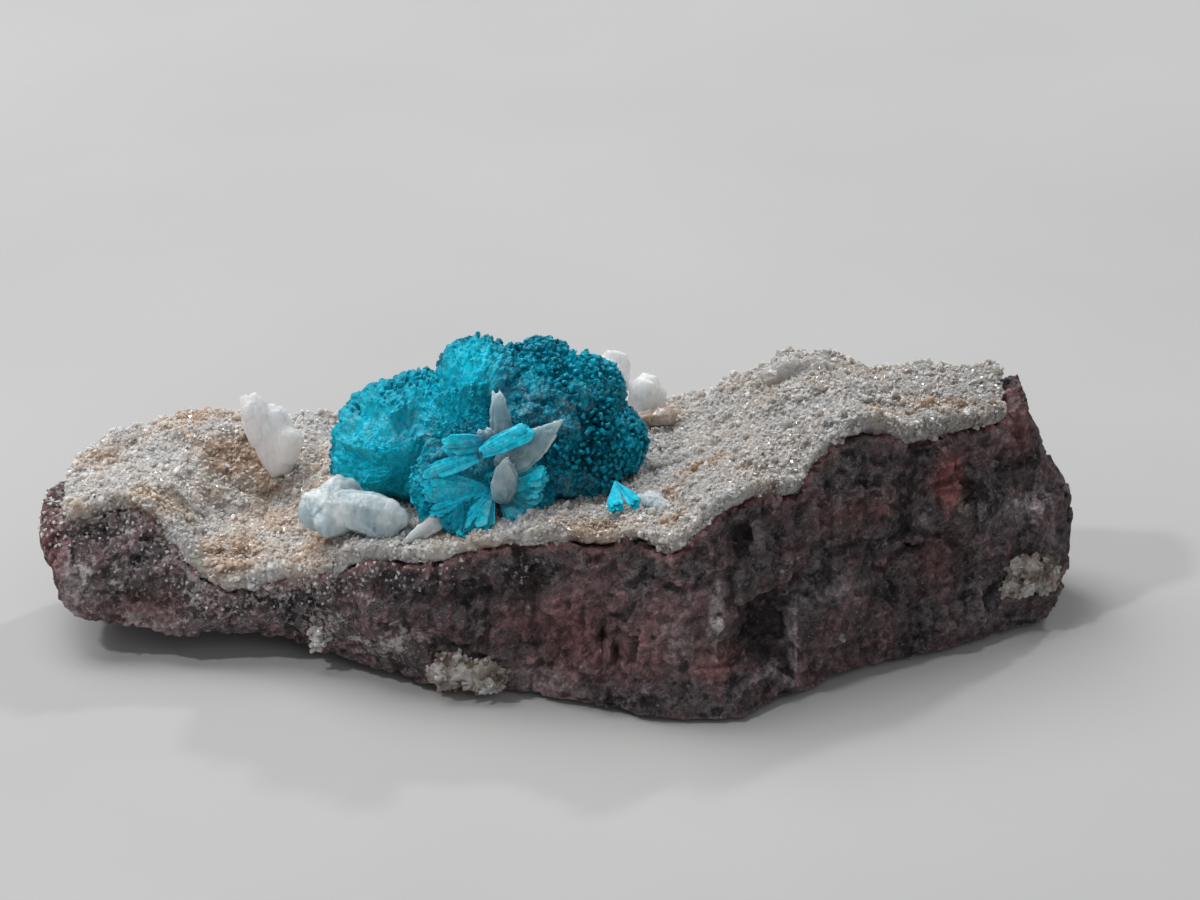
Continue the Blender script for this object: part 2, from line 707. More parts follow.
basalt = solid_copy("basalt_rock", "basalt_matrix")
lowest, highest = corners(basalt).min(0), corners(basalt).max(0)
skinned(basalt, voxel=0.32, smoothing=2)
pit_depth = carve(basalt)
run_tree(basalt, RELIEF, stand_off=0.1, swell_size=5.0, swell_height=0.9, chip_size=4.2, chip_tilt=0.24)
run_tree(basalt, RELIEF, swell_size=2.0, swell_height=0.3, chip_size=1.4, chip_tilt=0.48,
         grain_size=0.8, grain_height=0.35)
places = corners(basalt)
beyond = np.clip(places - highest + RIM, 0, None) - np.clip(lowest + RIM - places, 0, None)
places -= RIM_EASING * beyond
places[:, 2] = np.clip(places[:, 2], lowest[2], None)
put_back(basalt, places)
seam = nearness(places, SEAM_REACH)
leftness = np.clip((LEFT_SPECKLE_FROM - places[:, 0]) / LEFT_SPECKLE_OVER, 0.0, LEFT_SPECKLE_MOST)
wall = spots(places, LIT_WALL) * (pit_depth > SHALLOWEST)
paint(basalt, pale=np.maximum(spots(places, PALE_MARKS), SPECKLE_LEAST + leftness * (1 + seam)),
      rust=np.maximum(spots(places, RUST_MARKS), SEAM_RUST * seam ** 4),
      hollow=pit_depth * (1 - wall), haze=np.maximum(spots(places, HAZE_MARKS), WALL_HAZE * wall),
      black=spots(places, DARK_MARKS), blot=spots(places, BLOT_MARKS))
finished(basalt, BASALT, "basalt", "basalt_matrix")

# %% [markdown]
# ## The crust
#
# A drusy crust is a carpet of zeolite crystals less than a millimetre across that grew side by side on
# the rock. It looks like damp sugar: milky, white to grey, tan where iron has stained it, with
# sparks where a face catches the light. The skin gets the lumps. The crystals that stand out of it are
# scattered over it by a second tree and realized into one mesh.

# %% Finish the crust
STAIN_MARKS = [
    ((-27.0, 8.3, 12.3), (5.0, 3.5, 5.0), 0.95),
    ((-24.0, 3.0, 12.0), (4.0, 2.5, 5.0), 0.75),
    ((-36.0, -0.5, 12.5), (6.0, 1.6, 3.0), 0.75),
    ((-28.5, -3.0, 9.0), (3.2, 2.5, 3.0), 0.9),
    ((-24.0, 0.0, 10.0), (3.6, 2.5, 3.0), 0.7),
    ((-20.5, -5.0, 11.0), (3.5, 2.0, 3.0), 0.85),
    ((-33.3, 14.0, 14.3), (4.5, 2.5, 3.0), 0.75),
    ((-9.5, -8.8, 13.0), (4.0, 1.4, 2.0), 0.85),
    ((3.6, -10.2, 15.4), (3.0, 1.3, 1.8), 1.5),
    ((10.0, -10.5, 15.7), (1.5, 1.0, 1.6), 1.5),
    ((12.2, -2.9, 17.6), (2.6, 1.1, 2.0), 1.6),
    ((9.4, -5.4, 16.0), (2.6, 1.5, 2.0), 1.0),
    ((28.4, 1.0, 20.0), (3.0, 1.2, 3.0), 1.0),
    ((33.8, 3.2, 20.5), (3.4, 1.4, 3.0), 1.1),
    ((8.8, 11.9, 16.7), (1.8, 1.2, 2.0), 1.0),
    ((-41.0, 10.0, 13.0), (3.0, 2.0, 3.0), 0.6),
]


def crust_finish():
    """Zeolite druse: milky and glassy, white to grey, stained tan and brown by iron."""
    material, tree, surface, place = new_finish("zeolite_druse")
    stain = painted_shares(tree, "stain")[0]
    clouds = clouded(tree, place, 5.0, detail=5.0, roughness=0.6)
    patchy = maths(tree, "MULTIPLY_ADD", stain, 0.37, clouds)
    tint = ramped(tree, patchy, (0.42, "#cac8c6"), (0.6, "#c8beb5"), (0.78, "#c4ab97"), (1.02, "#957862"))
    grains = celled(tree, place, 0.5)
    shade = mapped(tree, grains, to=(0.92, 1.08))
    across = add(tree, "ShaderNodeSeparateXYZ", {0: place}).outputs["X"]
    greyer = mapped(tree, across, (-24 * MM, 36 * MM), to=(0.93, 0.56))
    dull = scaled(tree, tint, product(tree, shade, greyer))
    glint = mapped(tree, grains, (0.86, 0.9), to=(0.0, 0.8))
    colour = blended(tree, glint, dull, "#fdfdfd")
    gloss = mapped(tree, grains, to=(0.06, 0.4))
    wire(tree, surface, {"Base Color": colour, "Roughness": gloss, "IOR": 1.5,
                         "Subsurface Weight": 1.0, "Subsurface Radius": (1.0, 0.9, 0.8),
                         "Subsurface Scale": 1.6 * MM})
    return material


DRUSE = crust_finish()
print("the crust is stained in", len(STAIN_MARKS), "places")

# %% [markdown]
# The skin carries the crust's lumps, from a few millimetres down to a sugary grain. It is pushed out a
# little so that it meets the rock's skin.

# %% Grow the crust
crust = skinned(solid_copy("drusy_crust_skin", "drusy_crust"), voxel=0.25, smoothing=5)
run_tree(crust, RELIEF, stand_off=0.15, swell_size=3.4, swell_height=1.1, chip_size=1.9, chip_tilt=0.3)
run_tree(crust, RELIEF, swell_size=1.4, swell_height=0.4, chip_size=0.6, chip_tilt=0.45,
         grain_size=0.4, grain_height=0.15)
paint(crust, stain=spots(corners(crust), STAIN_MARKS))
print("the crust's skin has", triangles(crust), "triangles")

# %% [markdown]
# Each small crystal is a stubby prism with a blunt point. It is made once, standing on the origin and
# one unit high, with a few faces only, because it is repeated thousands of times.

# %% Make one crystal


def crystal(name, sides, rings, flatness):
    """A unit crystal on +Z: rings of corners as (height, width) from the foot up, closed at both ends.

    It stores how far along the crystal each corner is, which materials read as "along".
    """
    bm = bmesh.new()
    along = bm.verts.layers.float.new("along")
    loops = []
    for height, width in rings:
        loop = []
        for side in range(sides):
            turn = 2 * math.pi * (side + 0.5) / sides
            x, y = width * math.cos(turn) / 2, flatness * width * math.sin(turn) / 2
            corner = bm.verts.new((x, y, height))
            corner[along] = height
            loop.append(corner)
        loops.append(loop)
    for lower, upper in zip(loops, loops[1:]):
        for side in range(sides):
            beside = (side + 1) % sides
            bm.faces.new((lower[side], lower[beside], upper[beside], upper[side]))
    bm.faces.new(loops[-1])
    bm.faces.new(reversed(loops[0]))
    mesh = bpy.data.meshes.new(name)
    bm.to_mesh(mesh)
    bm.free()
    made = shown(name, mesh)
    made.hide_render = True
    return made


sugar_grain = crystal("sugar_grain", 3, ((0.0, 1.0), (1.0, 0.75)), flatness=0.95)
druse_crystal = crystal("druse_crystal", 4, ((0.0, 1.0), (0.62, 1.0), (1.0, 0.3)), flatness=0.75)
print("one crystal has", triangles(druse_crystal), "triangles, one grain has", triangles(sugar_grain))

# %% [markdown]
# The scatter tree puts crystals on a skin at least a spacing apart, leans each one off the normal and
# varies its size. Only what faces up and out carries crystals: the underside of the crust is bonded to
# the rock.

# %% Build the scatter tree
# Points to a square metre, more than any spacing here lets through
CRYSTALS_AT_MOST = 2e7
BLADES_AT_MOST = 5e7


def random_number(tree, low, high, seed):
    """A random number for each point, with its own fixed seed."""
    ends = {2: low, 3: high, "Seed": seed}
    return add(tree, "FunctionNodeRandomValue", ends, data_type="FLOAT").outputs[1]


def random_lean(tree, seed):
    """A random direction for each point."""
    ends = {0: (-1, -1, -1), 1: (1, 1, 1), "Seed": seed}
    return add(tree, "FunctionNodeRandomValue", ends, data_type="FLOAT_VECTOR")


def spread_points(tree, given, at_most, **more):
    """Points on a skin, at least a spacing apart."""
    return add(tree, "GeometryNodeDistributePointsOnFaces", {
        "Mesh": given["Geometry"], "Distance Min": given["Spacing"], "Density Max": at_most,
        "Density Factor": 1.0, "Seed": given["Seed"], **more}, distribute_method="POISSON")


def planted(tree, given, points, rotation, scale):
    """Ends a tree with real copies of its pattern on points, in its material."""
    pattern = add(tree, "GeometryNodeObjectInfo", {"Object": given["Pattern"]}).outputs["Geometry"]
    placed = add(tree, "GeometryNodeInstanceOnPoints", {
        "Points": points, "Instance": pattern, "Rotation": rotation, "Scale": scale})
    realized = add(tree, "GeometryNodeRealizeInstances", {"Geometry": placed})
    return ends_with(tree, add(tree, "GeometryNodeSetMaterial", {
        "Geometry": realized, "Material": given["Material"]}))


def scatter_tree():
    """Crystals of one kind on a skin's faces that look up, leaning and of mixed sizes."""
    tree, given = new_tree("scattered_crystals", [
        ("Pattern", "Object", None), ("Spacing", "Float", MM), ("Smallest", "Float", MM),
        ("Largest", "Float", MM), ("Lean", "Float", 0.5), ("Lowest slope", "Float", 0.2),
        ("Sink", "Float", 0.0), ("Seed", "Int", 1), ("Material", "Material", None),
    ])
    height = add(tree, "ShaderNodeSeparateXYZ", {0: add(tree, "GeometryNodeInputNormal")}).outputs["Z"]
    upward = add(tree, "FunctionNodeCompare", {0: height, 1: given["Lowest slope"]}, data_type="FLOAT",
                 operation="GREATER_THAN")
    points = spread_points(tree, given, CRYSTALS_AT_MOST, Selection=upward)
    leaning = vectors(tree, "MULTIPLY_ADD", random_lean(tree, 11), given["Lean"], points.outputs["Normal"])
    facing = add(tree, "FunctionNodeAlignRotationToVector", {"Vector": leaning}, axis="Z")
    spin = add(tree, "ShaderNodeCombineXYZ", {"Z": random_number(tree, 0.0, 2 * math.pi, 12)})
    turned = add(tree, "FunctionNodeRotateRotation", {"Rotation": facing, "Rotate By": spin},
                 rotation_space="LOCAL")
    size = random_number(tree, given["Smallest"], given["Largest"], 13)
    sunk = scaled(tree, points.outputs["Normal"], given["Sink"])
    return planted(tree, given, moved_by(tree, points.outputs["Points"], sunk), turned, size)


SCATTER = scatter_tree()


def crystals_on(name, mesh, material, **sizes):
    """A new piece: small crystals that stand on a mesh."""
    return run_tree(shown(name, mesh), SCATTER, material=material, **sizes)


print("the scatter tree has", len(SCATTER.nodes), "nodes")

# %% [markdown]
# Most of the carpet is grains of a third of a millimetre, down the front edge as well. Fewer and larger
# crystals stand among them.

# %% Scatter the crust's crystals
grains = crystals_on("drusy_crust_grains", crust.data, DRUSE, pattern=sugar_grain, spacing=0.36,
                     smallest=0.25, largest=0.5, lean=0.4, lowest_slope=-0.3, sink=-0.2, seed=7)
bigger = crystals_on("drusy_crust_crystals", crust.data, DRUSE, pattern=druse_crystal, spacing=1.3,
                     smallest=0.45, largest=0.95, lean=0.8, lowest_slope=-0.2, sink=-0.32, seed=17)
finished(crust, DRUSE, "drusy_crust", "drusy_crust")
finished(grains, DRUSE, "drusy_crust")
finished(bigger, DRUSE, "drusy_crust")

# %% [markdown]
# Below the crust's left edge single grains spill over onto the rock. They grow on a copy of the rock's
# skin that keeps only a strip along the seam.

# %% Sow grains on the rock
SPILL_REACH = 1.6
SPILL_LEAST = 0.08
SPILL_UP_TO = -8.0

strip = basalt.data.copy()
spill = nearness(places, SPILL_REACH) * (places[:, 0] < SPILL_UP_TO)
skin = bmesh.new()
skin.from_mesh(strip)
bare = [face for face in skin.faces if min(spill[corner.index] for corner in face.verts) < SPILL_LEAST]
bmesh.ops.delete(skin, geom=bare, context="FACES")
skin.to_mesh(strip)
skin.free()
sown = crystals_on("zeolite_grains_on_rock", strip, DRUSE, pattern=sugar_grain, spacing=0.6,
                   smallest=0.2, largest=0.45, lean=0.9, lowest_slope=-0.6, sink=-0.12, seed=31)
finished(sown, DRUSE, "drusy_crust")

# %% [markdown]
# ## The cavansite
#
# Cavansite grows as balls and bow-ties of thin teal blades that all start at one point. A whole ball
# shows only the blades' tips, which look like a knobbly skin. Where a ball is open to one side, or where
# blades spread as a flat fan, their flanks show as fine streaks with a satin shine.
#
# A guide mesh says where the tips are: a piece of a ball, or a small patch at the end of a fan. Each
# corner of the guide remembers the root that its blades start from. One tree then grows a blade from
# the root to each of many points on the guide, 1763 of them on the balls.

# %% Sizes of the balls and the fans
LEFT_HEART = (-13.2, -2.6, 16.6)
CAP_HEART = (-8.3, -2.2, 20.8)
MAIN_HEART = (-1.2, 2.6, 17.6)
# Balls: centre, radius, the root of their blades
BALLS = [
    ((-1.2, 2.6, 18.4), 7.0, MAIN_HEART),
    ((-7.0, 2.6, 23.2), 4.0, CAP_HEART),
    ((-1.7, 3.6, 22.6), 4.0, (-1.7, 3.2, 20.4)),
    ((2.0, 3.4, 21.6), 3.7, (1.4, 3.0, 19.6)),
    ((4.1, 1.4, 18.0), 3.6, (2.8, 1.6, 17.6)),
    ((2.8, -0.2, 15.4), 3.2, (2.0, 0.4, 15.6)),
    ((-8.8, 0.6, 19.8), 3.8, CAP_HEART),
    ((-14.3, 2.4, 17.6), 5.2, LEFT_HEART),
    ((-11.9, 2.6, 21.0), 3.0, LEFT_HEART),
    ((-17.3, 1.6, 16.2), 2.8, LEFT_HEART),
]
# Brightness of the balls from place to place: centre, radii, strength
BRIGHT_MARKS = [
    ((-7.4, 0.5, 26.0), (3.2, 5.0, 2.6), 1.0),
    ((-9.4, -1.5, 22.0), (2.4, 4.0, 3.4), 1.0),
    ((-15.0, 0.0, 17.6), (6.5, 9.0, 6.5), 1.1),
    ((-11.5, 1.0, 22.5), (3.0, 5.0, 3.0), 0.8),
    ((-2.0, 0.0, 25.5), (1.6, 3.0, 1.4), 0.65),
    ((3.0, 3.0, 25.0), (2.6, 4.0, 2.0), 0.7),
    ((7.0, 0.0, 19.0), (1.6, 5.0, 3.4), 0.55),
    ((-6.2, -3.0, 21.6), (1.8, 3.0, 3.0), 0.9),
    ((-17.0, -3.0, 15.0), (3.2, 4.0, 3.0), 1.5),
    ((4.4, -1.5, 21.6), (1.4, 3.0, 1.4), 0.5),
    ((-11.0, -4.0, 14.0), (2.6, 3.0, 2.2), -0.4),
]
DUST_MARKS = [
    ((-3.0, -3.0, 24.0), (2.2, 4.0, 1.8), 0.9),
    ((3.6, -2.5, 22.6), (2.4, 4.0, 2.2), 0.9),
    ((2.6, -4.5, 17.0), (3.2, 4.0, 2.6), 0.6),
    ((-8.4, -5.0, 20.0), (3.0, 3.0, 1.8), 1.0),
    ((-13.0, -2.0, 20.6), (3.2, 3.0, 1.6), 0.7),
    ((-17.6, -1.4, 20.4), (1.4, 3.0, 1.2), 0.7),
    ((-4.6, -2.4, 25.0), (1.4, 4.0, 1.6), 1.0),
    ((0.6, -3.4, 22.8), (2.4, 4.0, 1.2), 1.0),
    ((6.0, -1.0, 22.6), (1.2, 4.0, 1.2), 1.0),
]
# Where a ball lies open, so its blades show their flanks instead of their tips: centre, radii, strength
OPEN_MARKS = [
    ((-14.4, -3.0, 17.2), (7.0, 5.0, 6.2), 1.0),
    ((-8.6, -2.8, 22.4), (3.6, 3.6, 4.6), 1.0),
    ((-7.8, -0.6, 25.6), (3.0, 3.4, 3.0), 1.0),
]
# Fans: root, far end, half width, half thickness, tone, petals and, unless it is as most are, dust
KNOT = (-5.6, -5.6, 16.9)
FANS = [
    (KNOT, (-11.9, -7.4, 17.8), 2.0, 0.9, 1.5, 1, 0.3),
    (KNOT, (-11.3, -7.8, 15.6), 1.6, 0.9, 1.5, 1, 0.15),
    (KNOT, (-9.1, -8.8, 13.7), 1.6, 0.9, 1.4, 1, 0.2),
    (KNOT, (-6.9, -8.4, 13.9), 1.2, 0.8, 0.9, 1, 0.5),
    (KNOT, (-1.2, -6.9, 16.4), 1.8, 0.9, 0.5, 1),
    (KNOT, (-3.0, -7.2, 14.4), 1.5, 0.8, 0.3, 1),
    (KNOT, (-0.9, -7.0, 18.8), 1.5, 0.9, 1.0, 1, 0.5),
]
# Single wide crystals of the rosette: foot, tip, width, thickness, tone
SLABS = [
    ((-6.2, -6.6, 20.9), (-1.7, -7.2, 23.5), 2.3, 1.6, 1.45),
    ((-7.4, -6.0, 19.9), (-12.0, -7.4, 18.9), 2.1, 1.3, 1.15),
    ((-6.8, -5.6, 21.2), (-10.6, -5.8, 20.9), 2.2, 1.4, 0.8),
    ((-4.6, -6.0, 17.0), (-0.8, -7.2, 19.3), 2.2, 1.5, 1.0),
]
SPRIG_ROOT = (4.8, -5.6, 17.6)
SPRIG = [
    (SPRIG_ROOT, (4.8, -8.4, 15.9), 0.8, 0.7, 1.25, 0, 0.0),
    (SPRIG_ROOT, (6.9, -8.0, 16.2), 0.6, 0.5, 1.2, 0, 0.0),
]
TOWARDS_VIEWER = Vector((0.0, -0.9, 0.42))
print(len(BALLS), "balls,", len(FANS) + len(SPRIG), "fans and", len(SLABS), "single crystals")

# %% [markdown]
# Guides leave out what no eye can reach: the part of a ball that lies in its neighbour or below the
# crust.

# %% Make a guide
OPEN_FROM = 0.35
# The tips sink into the body by this share of the radius towards an open place
OPEN_SINK = 0.16
# A ball's radius wavers by this share over this many millimetres
WAVER = 0.09
WAVER_SIZE = 2.4
# A tip nearer to another ball's centre than this share of its radius is left out
SWALLOWED = 0.86
# So is a tip that lies further below the crust's upper side than this many millimetres
BURIED_DEPTH = 0.8
SKY_HEIGHT = 60.0
FAN_COLUMNS = 25
FAN_ROWS = 7
# A fan's corners beyond this squared distance from its middle are cut off
FAN_CORNER = 1.3
# A fan's blades are shorter by these shares at its sides and at its faces
SIDE_SHORTENING = 0.1
FACE_SHORTENING = 0.05
PETAL_RELIEF = 0.35
PETAL_SCALLOP = 0.04


def buried(place):
    """Whether a place lies deep below the crust's upper side."""
    hit = crust_faces.ray_cast(Vector((place.x, place.y, SKY_HEIGHT * MM)), Vector((0, 0, -1)))[0]
    return hit is not None and place.z < hit.z - BURIED_DEPTH * MM


class Guide:
    """A mesh of the places where blades end, with each corner's root, tone and dust."""

    def __init__(self):
        self.bm = bmesh.new()
        self.root = self.bm.verts.layers.float_vector.new("root")
        self.tone = self.bm.verts.layers.float.new("tone")
        self.dust = self.bm.verts.layers.float.new("dust")
        self.face = self.bm.verts.layers.float_vector.new("face")

    def mark(self, verts, root, tone, dust, face=(0.0, 0.0, 0.0)):
        """Gives corners their root, tone and dust, and the way that their blades' flat sides face."""
        for corner in verts:
            corner[self.face] = face
            corner[self.root] = mm(root)
            corner[self.tone] = tone
            corner[self.dust] = dust

    def add_ball(self, centre, radius, root, others):
        """Adds a ball, less what lies open, in another ball or under the crust."""
        middle = mm(centre)
        ball = bmesh.ops.create_icosphere(
            self.bm, subdivisions=4, radius=radius * MM, matrix=Matrix.Translation(middle))
        self.mark(ball["verts"], root, 0.0, 0.0)
        openness = spots(np.array([corner.co for corner in ball["verts"]]) / MM, OPEN_MARKS) / OPEN_FROM
        for corner, share in zip(ball["verts"], openness):
            waver = WAVER * noise.noise(corner.co / MM / WAVER_SIZE)
            corner.co += (corner.co - middle) * (waver - OPEN_SINK * min(share, 1.0) ** 2)
        hidden = []
        for face in {face for corner in ball["verts"] for face in corner.link_faces}:
            place = face.calc_center_median()
            swallowed = any((place - mm(c)).length < SWALLOWED * r * MM for c, r in others)
            open_here = spots(np.array([place]) / MM, OPEN_MARKS)[0] > OPEN_FROM
            if swallowed or open_here or buried(place):
                hidden.append(face)
        bmesh.ops.delete(self.bm, geom=hidden, context="FACES")

    def add_fan(self, root, end, half_width, half_thickness, tone, petals=0, dust=0.35):
        """Adds the curved patch at a fan's far end, with a ridge for each petal."""
        start, reach = Vector(root), Vector(end) - Vector(root)
        across = reach.cross(TOWARDS_VIEWER).normalized()
        through = across.cross(reach).normalized()
        grid = {}
        for column in range(FAN_COLUMNS):
            for row in range(FAN_ROWS):
                u, v = 2 * column / (FAN_COLUMNS - 1) - 1, 2 * row / (FAN_ROWS - 1) - 1
                ridge = math.cos(math.pi * petals * u)
                offset = across * u * half_width + through * (v + PETAL_RELIEF * ridge) * half_thickness
                short = SIDE_SHORTENING * u * u + FACE_SHORTENING * v * v + PETAL_SCALLOP * (1 - ridge)
                place = start + (reach + offset).normalized() * reach.length * (1 - short)
                if u * u + v * v < FAN_CORNER:
                    grid[column, row] = self.bm.verts.new(mm(place))
        self.mark(grid.values(), root, tone, dust, through)
        for column, row in grid:
            square = [grid.get(key) for key in ((column, row), (column + 1, row),
                                                (column + 1, row + 1), (column, row + 1))]
            if None not in square:
                self.bm.faces.new(square)

    def as_object(self, name):
        mesh = bpy.data.meshes.new(name)
        self.bm.to_mesh(mesh)
        self.bm.free()
        return shown(name, mesh)


print("a fan's guide has up to", FAN_COLUMNS * FAN_ROWS, "corners")

# %% [markdown]
# There is one guide for the balls, one for the rosette's fans and one for the sprig, because their blades
# differ in width.

# %% Lay out the guides
ball_guide, fan_guide, sprig_guide = Guide(), Guide(), Guide()
for number, ball in enumerate(BALLS):
    others = [(c, r) for n, (c, r, root) in enumerate(BALLS) if n != number]
    ball_guide.add_ball(*ball, others)
for guide, fans in ((fan_guide, FANS), (sprig_guide, SPRIG)):
    for fan in fans:
        guide.add_fan(*fan)
print("the balls' guide has", len(ball_guide.bm.faces), "faces")

# %% [markdown]
# The blade tree stands each blade on its root and turns it towards the point on the guide. A fan's blades
# lie flat in the fan. A ball's blades twist at random.

# %% Build the blade tree


def stored(tree, name, kind="FLOAT_VECTOR"):
    """Reads what is stored for each point under a name."""
    return add(tree, "GeometryNodeInputNamedAttribute", {"Name": name}, data_type=kind)


def storing(tree, geometry, name, value, kind="FLOAT"):
    """Stores a value for each point under a name."""
    return add(tree, "GeometryNodeStoreNamedAttribute", {
        "Geometry": geometry, "Name": name, "Value": value}, data_type=kind, domain="POINT")


def reach_from_root(tree):
    """The way from the stored root to the place, and the root."""
    root = stored(tree, "root")
    return vectors(tree, "SUBTRACT", add(tree, "GeometryNodeInputPosition"), root), root


def blade_tree():
    """Blades from each guide point's root to that point, turned and shortened at random."""
    tree, given = new_tree("radiating_blades", [
        ("Pattern", "Object", None), ("Spacing", "Float", MM), ("Narrowest", "Float", MM),
        ("Widest", "Float", MM), ("Shortest", "Float", 0.9), ("Longest", "Float", 1.05),
        ("Start", "Float", 0.1), ("Twist", "Float", 1.0), ("Seed", "Int", 1),
        ("Material", "Material", None),
    ])
    points = spread_points(tree, given, BLADES_AT_MOST).outputs["Points"]
    reach, root = reach_from_root(tree)
    kept = storing(tree, points, "reach", reach, "FLOAT_VECTOR")
    kept = storing(tree, kept, "blade", random_number(tree, 0.0, 1.0, 21))
    way = stored(tree, "reach")
    begin = vectors(tree, "MULTIPLY_ADD", way, given["Start"], root)
    begun = add(tree, "GeometryNodeSetPosition", {"Geometry": kept, "Position": begin})
    standing = add(tree, "FunctionNodeAlignRotationToVector", {"Vector": way}, axis="Z")
    seen = vectors(tree, "MULTIPLY_ADD", random_lean(tree, 22), given["Twist"], stored(tree, "face"))
    turned = add(tree, "FunctionNodeAlignRotationToVector", {"Rotation": standing, "Vector": seen},
                 axis="Y", pivot_axis="Z")
    width = random_number(tree, given["Narrowest"], given["Widest"], 23)
    share = random_number(tree, given["Shortest"], given["Longest"], 24)
    rest = maths(tree, "SUBTRACT", share, given["Start"])
    length = maths(tree, "MULTIPLY", vectors(tree, "LENGTH", way).outputs["Value"], rest)
    size = add(tree, "ShaderNodeCombineXYZ", {"X": width, "Y": width, "Z": length})
    return planted(tree, given, begun, turned, size)


BLADES = blade_tree()
print("the blade tree has", len(BLADES.nodes), "nodes")

# %% [markdown]
# Cavansite is a glassy, see-through teal, darkest where the blades crowd together at their roots and
# palest at their tips. The shader reads how far along its blade a point is, and how bright that part of
# the cluster is. The blades overlap, and scattering inside overlapping shells would turn dark, so the
# light that travels through them is part of the colour. It holds almost no red, so the shine is low.

# %% Finish the cavansite


def cavansite_finish():
    """Cavansite: glassy radiating blades, deep teal at the root and bright cyan at the tip."""
    material, tree, surface, place = new_finish("cavansite_blades")
    along, tone, dust, blade = painted_shares(tree, "along", "tone", "dust", "blade")
    bright = ramped(tree, along, (0.0, "#0083a8"), (0.45, "#00b2ce"), (0.85, "#00cae2"), (1.0, "#14dcf0"))
    dark = ramped(tree, along, (0.0, "#002e42"), (0.7, "#00667f"), (1.0, "#0096b0"))
    clouds = clouded(tree, place, 2.6, detail=4.0, roughness=0.7)
    cloudy = maths(tree, "MULTIPLY_ADD", clouds, 0.8, -0.5)
    own = maths(tree, "MULTIPLY_ADD", blade, 0.36, cloudy)
    toned = maths(tree, "ADD", tone, own)
    teal = blended(tree, toned, dark, bright)
    glow = mapped(tree, toned, (0.95, 1.45), to=(0.0, 0.85))
    lit = blended(tree, glow, teal, "#14d2f0")
    fine = clouded(tree, place, 0.5, detail=4.0, roughness=0.7)
    depth = mapped(tree, fine, (0.3, 0.7), to=(0.55, 1.4))
    mottled = scaled(tree, lit, depth)
    powder = clouded(tree, place, 1.2, detail=6.0, roughness=0.8)
    level = mapped(tree, powder, (0.45, 0.64), to=(0.0, 0.8))
    dusty = maths(tree, "MULTIPLY", level, dust)
    colour = blended(tree, dusty, mottled, "#9cc0ca")
    bump = bumped(tree, fine, 0.7, 0.15)
    wire(tree, surface, {"Base Color": colour, "Roughness": 0.3, "IOR": 1.54,
                         "Specular IOR Level": 0.18, "Normal": bump})
    return material


CAVANSITE = cavansite_finish()
print("the cavansite's finish has", len(CAVANSITE.node_tree.nodes), "nodes")

# %% [markdown]
# The balls are mostly one fused body, and only the last fraction of a millimetre of each blade stands
# free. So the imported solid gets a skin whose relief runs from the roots: every blade is a cell of a
# pattern laid over the directions from its root. On the outside that makes blocky tips of uneven
# height. On a side that lies open the same cells make long streaks.

# %% Grow the fused body
# Along a blade's flank, and where a ball lies open, the relief is these shares of what it is at the ends
FLUTE_SHARE = 0.35
SATIN_SHARE = 0.6
# The body shows the blades from this far along them
BODY_ALONG = 0.75


def nearest_roots(places):
    """The root in millimetres whose ball each place belongs to: the ball whose skin is nearest."""
    gaps = np.stack([np.abs(np.linalg.norm(places - np.array(c), axis=1) - r) for c, r, root in BALLS])
    return np.array([root for c, r, root in BALLS])[gaps.argmin(0)]


def blade_relief_tree():
    """Pushes a skin out by a random height for each cell of directions from the stored roots."""
    tree, given = new_tree("blade_relief", [
        ("Blade share", "Float", 0.1), ("Height", "Float", MM), ("Stand off", "Float", 0.0),
    ])
    reach, root = reach_from_root(tree)
    way = vectors(tree, "NORMALIZE", reach)
    moved = vectors(tree, "MULTIPLY_ADD", root, (1 / MM, 1 / MM, 1 / MM), way)
    scale = maths(tree, "DIVIDE", 1.0, given["Blade share"])
    cells = add(tree, "ShaderNodeTexVoronoi", {"Vector": moved, "Scale": scale})
    chance = add(tree, "ShaderNodeSeparateXYZ", {0: cells.outputs["Color"]})
    height = maths(tree, "MULTIPLY_ADD", chance.outputs["X"], given["Height"], given["Stand off"])
    rounding = maths(tree, "MULTIPLY", cells.outputs["Distance"], given["Height"])
    shaped = maths(tree, "SUBTRACT", height, rounding)
    normal = add(tree, "GeometryNodeInputNormal")
    endwise = vectors(tree, "DOT_PRODUCT", normal, way).outputs["Value"]
    free = mapped(tree, endwise, (0.2, 0.9), to=(FLUTE_SHARE, 1.0))
    satin = stored(tree, "open", "FLOAT")
    calm = mapped(tree, satin, to=(1.0, SATIN_SHARE))
    gentle = maths(tree, "MULTIPLY", free, calm)
    eased = maths(tree, "MULTIPLY", shaped, gentle)
    push = scaled(tree, normal, eased)
    pushed = moved_by(tree, given["Geometry"], push)
    return ends_with(tree, storing(tree, pushed, "blade", chance.outputs["Y"]))


def lit_and_dusted(obj):
    """Paints the balls' brightness and dust from the marks."""
    places = corners(obj)
    bright = [mark for mark in BRIGHT_MARKS if mark[2] > 0]
    dim = [(centre, radii, -strength) for centre, radii, strength in BRIGHT_MARKS if strength < 0]
    paint(obj, tone=spots(places, bright) - spots(places, dim), dust=spots(places, DUST_MARKS))


